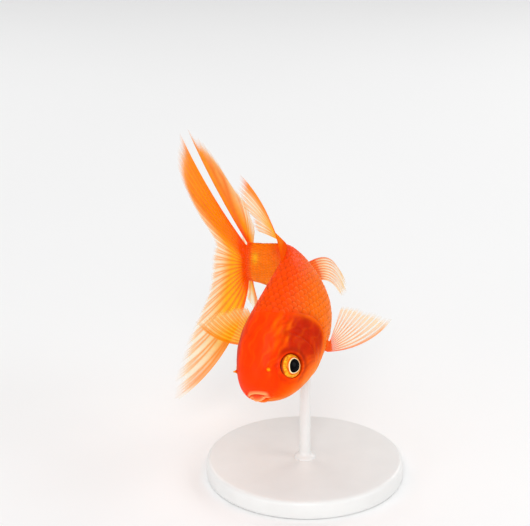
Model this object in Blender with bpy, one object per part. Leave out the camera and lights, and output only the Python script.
"""A young fantail goldfish in a steep diving turn, carried by a small round display stand.

Lengths are metres and +Z is up. The origin is the middle of the underside of the stand base.

The fish hangs on a bent centre line that runs from the snout to the root of the tail fin.
A place on the fish is a station s along that line (0 at the snout, 1 at the tail root) and
an angle round it (0 is the left side, 90 the back, 180 the right side, 270 the belly).
Each station carries three directions: tailward, backward-fin-ward (up) and to the fish's left.
"""

import math

import bpy
import numpy as np
from mathutils.bvhtree import BVHTree

MM = 0.001

# ---- pose ---------------------------------------------------------------------------
SNOUT = np.array([-12.0, -23.5, 33.5]) * MM   # where the snout hangs above the base
HEADING = -113.0                              # compass direction of the dive
DIVE = 40.0                                   # how far the nose points down
ROLL = 24.0                                   # how far the left side is rolled up
STANDARD_LENGTH = 60.0 * MM                   # snout to tail root, along the centre line
TURN_RIGHT = (0.38, 0.98, 85.0)             # from station, to station, degrees
ARCH = (0.30, 0.67, 25.0)                   # tail end bent toward the belly
NECK_TWIST = (0.10, 0.35, 15.0)             # body twisted back against the rolled head
TAIL_TWIST = (0.55, 1.00, 15.0)             # tail end twisted the same way

# ---- body -------------------------------------------------------------------------
# Each outline: fullest half size, the station of that, size at the stalk, bluntness in front.
NOSE = 2.0 * MM
BACK = (13.0 * MM, 0.42, 6.0 * MM, 2.3)
BELLY = (13.0 * MM, 0.47, 5.5 * MM, 1.5)
SIDES = (10.0 * MM, 0.25, 2.5 * MM, 3.0)
NOSE_CAP = 1.1 * MM            # how far the rounded nose stands in front of station 0
INNER_FLANK_TUCK = 0.40        # the right flank is drawn in where the body turns
HEAD_END = 0.365               # the gill covers end here
TRUNK_MIDDLE = 0.600
STALK_START = 0.800
CUT = 0.35 * MM                # gap between neighbouring solids
AROUND = 36                    # points round a body ring

# ---- eyes and mouth -----------------------------------------------------------------
EYE_AT = (0.135, 9.0)
EYE_RADIUS = 3.50 * MM
EYE_SET_IN = 2.30 * MM         # how deep the middle of the eye lies under the skin
EYE_TILT = 10.0                # the eyes look a little upward
RIGHT_EYE_DEEPER = 0.45 * MM   # the eye on the inside of the turn sits a little deeper
MOUTH_SIZE = np.array([1.6, 0.8, 2.8]) * MM    # depth, half height and half width
MOUTH_RISE = 1.2 * MM          # the mouth opens a little above the tip of the nose

# ---- fins --------------------------------------------------------------------------
FIN_ROOT_THICK = 0.9 * MM
FIN_EDGE_THICK = 0.55 * MM
FIN_LIFT = 0.75 * MM           # the roots stand this far off the skin

# ---- stand --------------------------------------------------------------------------
BASE_RADIUS = 27.0 * MM
BASE_THICK = 5.0 * MM
BASE_BEVEL = 0.8 * MM
ROD_RADIUS = 1.5 * MM
ROD_GAP = 0.30 * MM


def clear_scene():
    for thing in list(bpy.data.objects):
        bpy.data.objects.remove(thing, do_unlink=True)


def between(a, b, share):
    return a + (b - a) * share


def unit(vector):
    vector = np.asarray(vector, float)
    return vector / np.linalg.norm(vector, axis=-1, keepdims=True)


def ramp(x, start, end):
    """0 before start, 1 after end, and a soft S between them."""
    t = np.clip((np.asarray(x, float) - start) / (end - start), 0.0, 1.0)
    return t * t * (3 - 2 * t)


def flow(x, places, values):
    """A smooth curve through the values that never overshoots them."""
    places = np.asarray(places, float)
    values = np.asarray(values, float)
    x = np.clip(np.asarray(x, float), places[0], places[-1])
    step = np.diff(places)
    slope = np.diff(values) / step
    tangent = np.concatenate([slope[:1], (slope[:-1] + slope[1:]) / 2, slope[-1:]])
    turning = slope[:-1] * slope[1:] <= 0
    tangent[1:-1][turning] = 0.0
    most = 2.5 * np.minimum(np.abs(slope[:-1]), np.abs(slope[1:]))
    tangent[1:-1] = np.sign(tangent[1:-1]) * np.minimum(np.abs(tangent[1:-1]), most)
    i = np.clip(np.searchsorted(places, x, side="right") - 1, 0, len(step) - 1)
    t = (x - places[i]) / step[i]
    first = values[i] * (1 + 2 * t) * (1 - t) ** 2 + tangent[i] * step[i] * t * (1 - t) ** 2
    last = values[i + 1] * t * t * (3 - 2 * t) + tangent[i + 1] * step[i] * t * t * (t - 1)
    return first + last


# ---- the centre line -------------------------------------------------------------------
def head_directions():
    """Tailward, up and left of the straight front half of the fish."""
    dive = math.radians(DIVE)
    heading = math.radians(HEADING)
    nose = np.array([math.cos(dive) * math.cos(heading),
                     math.cos(dive) * math.sin(heading),
                     -math.sin(dive)])
    level_left = unit(np.cross([0, 0, 1], nose))
    level_up = np.cross(nose, level_left)
    roll = math.radians(ROLL)
    left = level_left * math.cos(roll) + level_up * math.sin(roll)
    return -nose, np.cross(nose, left), left


def turn(a, b, angle):
    """Turns direction a toward b, and b away from a."""
    return (a * math.cos(angle) + b * math.sin(angle),
            b * math.cos(angle) - a * math.sin(angle))


def centre_line(steps=240):
    """Middle point and the three directions at evenly spaced stations."""
    s = np.linspace(0, 1, steps + 1)
    right, arch, neck, tail = [np.diff(np.radians(angle) * ramp(s, start, end))
                               for start, end, angle in (TURN_RIGHT, ARCH, NECK_TWIST, TAIL_TWIST)]
    back, up, left = head_directions()
    rows = [(SNOUT, back, up, left)]
    for right_step, arch_step, twist_step in zip(right, arch, neck + tail):
        back, right_side = turn(back, -left, right_step)
        back, down = turn(back, -up, arch_step)
        up, left = turn(-down, -right_side, twist_step)
        back = unit(back)
        up = unit(up - back * np.dot(up, back))
        left = np.cross(back, up)
        rows.append((rows[-1][0] + back * STANDARD_LENGTH / steps, back, up, left))
    return s, [np.array(column) for column in zip(*rows)]


STATIONS, LINE = centre_line()


def frame_at(s):
    """Middle point, tailward, up and left at any station; the line runs on straight past its ends."""
    s = np.asarray(s, float)
    middle, back, up, left = [
        np.stack([np.interp(s, STATIONS, column[:, k]) for k in range(3)], axis=-1)
        for column in LINE]
    beyond = np.where(s > 1, s - 1, 0) + np.where(s < 0, s, 0)
    return middle + back * (beyond * STANDARD_LENGTH)[..., None], back, up, left


def outline(s, fullest, at, stalk, blunt):
    """Half size along the body: a rounded front, then a soft S down to the stalk."""
    front = NOSE + (fullest - NOSE) * (1 - (1 - np.clip(s / at, 0, 1)) ** 2) ** (1 / blunt)
    rear = stalk + (fullest - stalk) * (1 - ramp(s, at, 1.0))
    return np.where(s < at, front, rear)


def skin_point(s, degrees, lift=0.0):
    """The place on the skin at a station and an angle, raised by lift."""
    s, angle = np.broadcast_arrays(np.asarray(s, float), np.radians(degrees))
    height = outline(s, *BACK)
    depth = outline(s, *BELLY)
    width = outline(s, *SIDES)
    across, upward = np.cos(angle), np.sin(angle)
    egg = 0.20 + 0.15 * ramp(s, 0.20, 0.45)
    side = width * np.sign(across) * np.abs(across) ** 0.92 * (1 - egg * upward)
    tuck = INNER_FLANK_TUCK * ramp(s, 0.30, 0.60) * (1 - ramp(s, 0.80, 1.0))
    side = np.where(across < 0, side * (1 - tuck), side)
    rise = np.where(upward > 0, height, depth) * np.sign(upward) * np.abs(upward) ** 0.96
    nose = np.sqrt(np.clip(1 - (np.minimum(s, 0) * STANDARD_LENGTH / NOSE_CAP) ** 2, 0, 1))
    middle, _, up, left = frame_at(s)
    out = left * across[..., None] + up * upward[..., None]
    return middle + left * (side * nose)[..., None] + up * (rise * nose)[..., None] + out * lift


# ---- meshes -------------------------------------------------------------------------
def material(name, colour, roughness, metallic=0.0):
    made = bpy.data.materials.new(name)
    made.use_nodes = True
    shader = made.node_tree.nodes["Principled BSDF"]
    shader.inputs["Base Color"].default_value = (*colour, 1.0)
    shader.inputs["Roughness"].default_value = roughness
    shader.inputs["Metallic"].default_value = metallic
    made.diffuse_color = (*colour, 1.0)
    return made


def add_mesh(name, points, faces, finish):
    mesh = bpy.data.meshes.new(name)
    mesh.from_pydata([tuple(p) for p in points], [], [tuple(int(i) for i in f) for f in faces])
    mesh.validate()
    mesh.update()
    made = bpy.data.objects.new(name, mesh)
    bpy.context.scene.collection.objects.link(made)
    mesh.materials.append(finish)
    return made


def closed_rings(rings):
    """Faces of a skin over equal rings, with a fan over each end."""
    count = len(rings[0])
    points = np.concatenate([*rings, [rings[0].mean(axis=0)], [rings[-1].mean(axis=0)]])
    first, last = len(points) - 2, len(points) - 1
    faces = []
    for k in range(count):
        after = (k + 1) % count
        for r in range(len(rings) - 1):
            faces.append((r * count + k, r * count + after,
                          (r + 1) * count + after, (r + 1) * count + k))
        faces.append((first, after, k))
        tail = (len(rings) - 1) * count
        faces.append((last, tail + k, tail + after))
    return points, faces


def outward(points, faces):
    """Turns all the faces round if the solid is inside out."""
    volume = 0.0
    for face in faces:
        for i in range(1, len(face) - 1):
            a, b, c = points[face[0]], points[face[i]], points[face[i + 1]]
            volume += np.dot(a, np.cross(b, c))
    return faces if volume > 0 else [tuple(reversed(face)) for face in faces]


def solid_of_rings(name, rings, finish):
    points, faces = closed_rings(rings)
    return add_mesh(name, points, outward(points, faces), finish)


def solid_of_sheet(name, sheet, thick, finish):
    """Gives a grid of points a thickness and closes its rim."""
    along = np.gradient(sheet, axis=1)
    across = np.gradient(sheet, axis=0)
    normal = unit(np.cross(across, along))
    half = (thick / 2)[..., None] * normal
    rows, columns = sheet.shape[:2]
    points = np.concatenate([(sheet + half).reshape(-1, 3), (sheet - half).reshape(-1, 3)])
    under = rows * columns
    faces = []
    for i in range(rows - 1):
        for j in range(columns - 1):
            a, b = i * columns + j, i * columns + j + 1
            c, d = a + columns + 1, a + columns
            faces.append((a, b, c, d))
            faces.append((under + d, under + c, under + b, under + a))
    rim = [i * columns for i in range(rows)]
    rim += [(rows - 1) * columns + j for j in range(1, columns)]
    rim += [i * columns + columns - 1 for i in range(rows - 2, -1, -1)]
    rim += list(range(columns - 2, 0, -1))
    for a, b in zip(rim, rim[1:] + rim[:1]):
        faces.append((a, b, under + b, under + a))
    return add_mesh(name, points, outward(points, faces), finish)


def cut_away(target, cutter):
    """Subtracts a hidden helper."""
    cutter.hide_render = True
    cutter.display_type = "WIRE"
    boolean = target.modifiers.new("cut_" + cutter.name, "BOOLEAN")
    boolean.operation = "DIFFERENCE"
    boolean.solver = "EXACT"
    boolean.object = cutter


# ---- body ------------------------------------------------------------------------------
def body_rings(stations):
    angles = np.arange(AROUND) * 360.0 / AROUND
    return [skin_point(np.full(AROUND, s), angles) for s in stations]


def body_solid(name, start, end, rings, finish):
    return solid_of_rings(name, body_rings(np.linspace(start, end, rings)), finish)


def ball(name, middle, axis, radius, finish, turns=20, rings=11):
    """A sphere whose pole points along the axis."""
    axis = unit(axis)
    side = unit(np.cross(axis, [0.3, 0.1, 1.0]))
    other = np.cross(axis, side)
    around = np.linspace(0, 2 * math.pi, turns, endpoint=False)
    loops = []
    for tilt in np.linspace(0.0, math.pi, rings + 2)[1:-1]:
        loop = np.outer(np.cos(around), side) + np.outer(np.sin(around), other)
        loops.append(middle + radius * (math.sin(tilt) * loop + math.cos(tilt) * axis))
    points, faces = closed_rings(loops)
    points[-2] = middle + radius * axis
    points[-1] = middle - radius * axis
    return add_mesh(name, points, outward(points, faces), finish)


def eye_place(side):
    """Middle and outward axis of an eye; side is 1 for left and -1 for right."""
    station, angle = EYE_AT
    spot = skin_point(station, angle if side > 0 else 180 - angle)
    _, _, up, left = frame_at(station)
    tilt = math.radians(EYE_TILT)
    axis = side * left * math.cos(tilt) + up * math.sin(tilt)
    depth = EYE_SET_IN + (0.0 if side > 0 else RIGHT_EYE_DEEPER)
    return spot - axis * depth, axis


def mouth_cutter(finish):
    """A small flattened ball in front of the nose leaves the open lips."""
    middle, back, up, left = frame_at(0.0)
    cutter = ball("cutter_mouth", np.zeros(3), np.array([0.0, 0.0, 1.0]), 1.0, finish, 16, 7)
    centre = middle - back * NOSE_CAP * 0.9 + up * MOUTH_RISE
    depth, tall, wide = MOUTH_SIZE
    for vertex in cutter.data.vertices:
        x, y, z = vertex.co
        vertex.co = centre + back * x * depth - left * y * wide + up * z * tall
    return cutter


def make_head(finish):
    cap = -NOSE_CAP / STANDARD_LENGTH
    nose = cap * np.array([0.985, 0.86, 0.55])
    stations = np.concatenate([nose, [0.0, 0.012], np.linspace(0.033, HEAD_END, 15)])
    head = solid_of_rings("head", body_rings(stations), finish)
    for side, label in ((1, "left"), (-1, "right")):
        middle, axis = eye_place(side)
        cut_away(head, ball("cutter_socket_" + label, middle, axis,
                            EYE_RADIUS + CUT, finish, 20, 9))
    cut_away(head, mouth_cutter(finish))
    return head


def make_body(finish):
    gap = CUT / STANDARD_LENGTH
    make_head(finish)
    body_solid("trunk_front", HEAD_END + gap, TRUNK_MIDDLE, 11, finish)
    body_solid("trunk_rear", TRUNK_MIDDLE + gap * 1.4, STALK_START, 10, finish)
    body_solid("tail_stalk", STALK_START + gap * 1.4, 1.0, 9, finish)


def make_eyes(finish):
    for side, label in ((1, "left"), (-1, "right")):
        middle, axis = eye_place(side)
        ball("eye_" + label, middle, axis, EYE_RADIUS, finish)


# ---- fins ------------------------------------------------------------------------------
# Guide rays: root station, root angle, length in mm, then how far the ray points up and how
# far out to its own side, in degrees, each where it leaves the body and at its tip.
FINS = {
    "dorsal_fin": (1, (
        (0.52, 90, 26, 40, 55, -5, -40),
        (0.63, 90, 17, 50, 50, -20, -40),
        (0.76, 90, 9, 15, 10, -15, -25),
    )),
    "pectoral_fin_left": (1, (
        (0.32, -40, 20, -10, 5, 85, 25),
        (0.34, -34, 14, 5, 0, 45, 25),
        (0.36, -28, 10, 20, 10, 10, 5),
    )),
    "pectoral_fin_right": (-1, (
        (0.32, 212, 23, 10, 10, 105, 50),
        (0.345, 208, 15, 10, 20, 75, 45),
        (0.37, 204, 9, 15, 25, 50, 30),
    )),
    "pelvic_fin_left": (1, (
        (0.74, 5, 23, -5, -110, 75, 0),
        (0.72, -8, 19, -20, -110, 65, 0),
        (0.70, -20, 12, -40, -100, 55, 5),
    )),
    "pelvic_fin_right": (-1, (
        (0.64, 226, 16, -70, -20, 50, 15),
        (0.66, 222, 13, -50, -20, 40, 10),
        (0.69, 218, 10, -35, -10, 30, 5),
    )),
    "anal_fin": (1, (
        (0.77, 270, 13, -70, -30, 5, 10),
        (0.81, 270, 10, -60, -25, 5, 10),
        (0.85, 270, 8, -40, -15, 5, 5),
    )),
}


def aimed(directions, side, rise, flare):
    """Directions that point up by one angle and out to the fin's own side by the other."""
    back, up, left = directions
    rise, flare = np.radians(rise)[:, None], np.radians(flare)[:, None]
    level = back * np.cos(rise) + up * np.sin(rise)
    return level * np.cos(flare) + left * side * np.sin(flare)


def swept(side, guides, places, share, root, directions, steps):
    """Rays blended between guide rays; each bends evenly from its first aim to its last."""
    length, rise, tip_rise, flare, tip_flare = [
        flow(share, places, [g[k] for g in guides]) for k in range(-5, 0)]
    start, middle, tip = [
        aimed(directions, side, between(rise, tip_rise, t), between(flare, tip_flare, t))
        for t in (0.0, 0.5, 1.0)]
    v = np.linspace(0, 1, steps)[None, :, None]
    path = (start[:, None] * (v - 1.5 * v ** 2 + 2 * v ** 3 / 3)
            + middle[:, None] * (2 * v ** 2 - 4 * v ** 3 / 3)
            + tip[:, None] * (2 * v ** 3 / 3 - v ** 2 / 2))
    return root[:, None] + path * (length * MM)[:, None, None]


def fan(side, guides, rays, steps):
    """A sheet of rays from the skin, blended between three guide rays."""
    share = np.linspace(0, 1, rays)
    places = (0.0, 0.5, 1.0)
    station = flow(share, places, [g[0] for g in guides])
    angle = flow(share, places, [g[1] for g in guides])
    _, *directions = frame_at(station)
    root = skin_point(station, angle, FIN_LIFT)
    return swept(side, guides, places, share, root, directions, steps)


def taper(rays, steps):
    v = np.linspace(0, 1, steps)[None, :]
    thick = FIN_ROOT_THICK + (FIN_EDGE_THICK - FIN_ROOT_THICK) * ramp(v, 0.0, 0.7)
    return np.repeat(thick, rays, axis=0)


# Each half is its side (1 left, -1 right) and guide rays from the top edge to the bottom edge.
# A guide is its share of the way down the end of the stalk, its length and the same four angles.
TAIL_HALVES = {
    "tail_fin_right": (-1, (
        (0.00, 37, 55, 85, 5, 20),
        (0.20, 32, 50, 75, 10, 20),
        (0.45, 10, 20, 30, 5, 10),
        (0.70, 16, -30, -45, 10, 20),
        (1.00, 45, -85, -35, 10, 35),
    )),
    "tail_fin_left": (1, (
        (0.00, 36, 60, 60, -5, 10),
        (0.06, 34, 55, 60, 5, 15),
        (0.12, 19, 65, 45, 35, 20),
        (0.50, 12, 50, 50, 60, 50),
        (1.00, 37, -65, -65, 35, 35),
    )),
}


def tail_half(side, guides, rays=25, steps=9):
    """The rays of a tail half leave a short curved root on the end of the stalk."""
    share = np.linspace(0, 1, rays)
    middle, back, up, left = frame_at(1.0 + CUT / STANDARD_LENGTH)
    height = flow(share, (0, 1), (BACK[2] * 0.92, -BELLY[2] * 0.92))
    offset = side * flow(share, (0, 0.5, 1), (0.62, 1.3, 0.8)) * MM
    inward = 0.5 * MM * (1 - (2 * share - 1) ** 2)
    root = (middle + up * height[:, None] + left * offset[:, None]
            + back * inward[:, None])
    places = [g[0] for g in guides]
    return swept(side, guides, places, share, root, (back, up, left), steps)


def make_fins(finish):
    for name, row in FINS.items():
        rays, steps = (13, 7) if name == "dorsal_fin" else (10, 7)
        solid_of_sheet(name, fan(*row, rays, steps), taper(rays, steps), finish)
    for name, row in TAIL_HALVES.items():
        sheet = tail_half(*row)
        solid_of_sheet(name, sheet, taper(*sheet.shape[:2]), finish)


# ---- stand -----------------------------------------------------------------------------
def ring(radius, height, turns=40):
    angle = np.linspace(0, 2 * math.pi, turns, endpoint=False)
    return np.stack([radius * np.cos(angle), radius * np.sin(angle),
                     np.full(turns, height)], axis=1)


def make_base(finish):
    rings = [ring(BASE_RADIUS - BASE_BEVEL / 2, 0.0),
             ring(BASE_RADIUS, BASE_BEVEL / 2),
             ring(BASE_RADIUS, BASE_THICK - BASE_BEVEL),
             ring(BASE_RADIUS - BASE_BEVEL, BASE_THICK)]
    solid_of_rings("stand_base", rings, finish)


def belly_height(tree, x, y):
    """Height of the skin straight above a place on the base."""
    hit = tree.ray_cast((x, y, BASE_THICK), (0, 0, 1))[0]
    return hit[2]


def make_rod(finish):
    """The rod stands on the middle of the base and its top follows the belly."""
    stations = np.linspace(HEAD_END, TRUNK_MIDDLE, 40)
    points, faces = closed_rings(body_rings(stations))
    tree = BVHTree.FromPolygons([tuple(p) for p in points], faces)
    low = ring(ROD_RADIUS, BASE_THICK + ROD_GAP, 16)
    high = low.copy()
    for point in high:
        point[2] = belly_height(tree, point[0], point[1]) - ROD_GAP
    solid_of_rings("stand_rod", [low, high], finish)


def main():
    clear_scene()
    skin = material("fish_skin", (0.93, 0.08, 0.0), 0.32)
    fins = material("fin_membrane", (0.97, 0.36, 0.06), 0.38)
    eyes = material("eye_gloss", (0.03, 0.02, 0.01), 0.08)
    stand = material("stand_resin", (0.80, 0.80, 0.79), 0.30)
    make_body(skin)
    make_eyes(eyes)
    make_fins(fins)
    make_base(stand)
    make_rod(stand)


main()
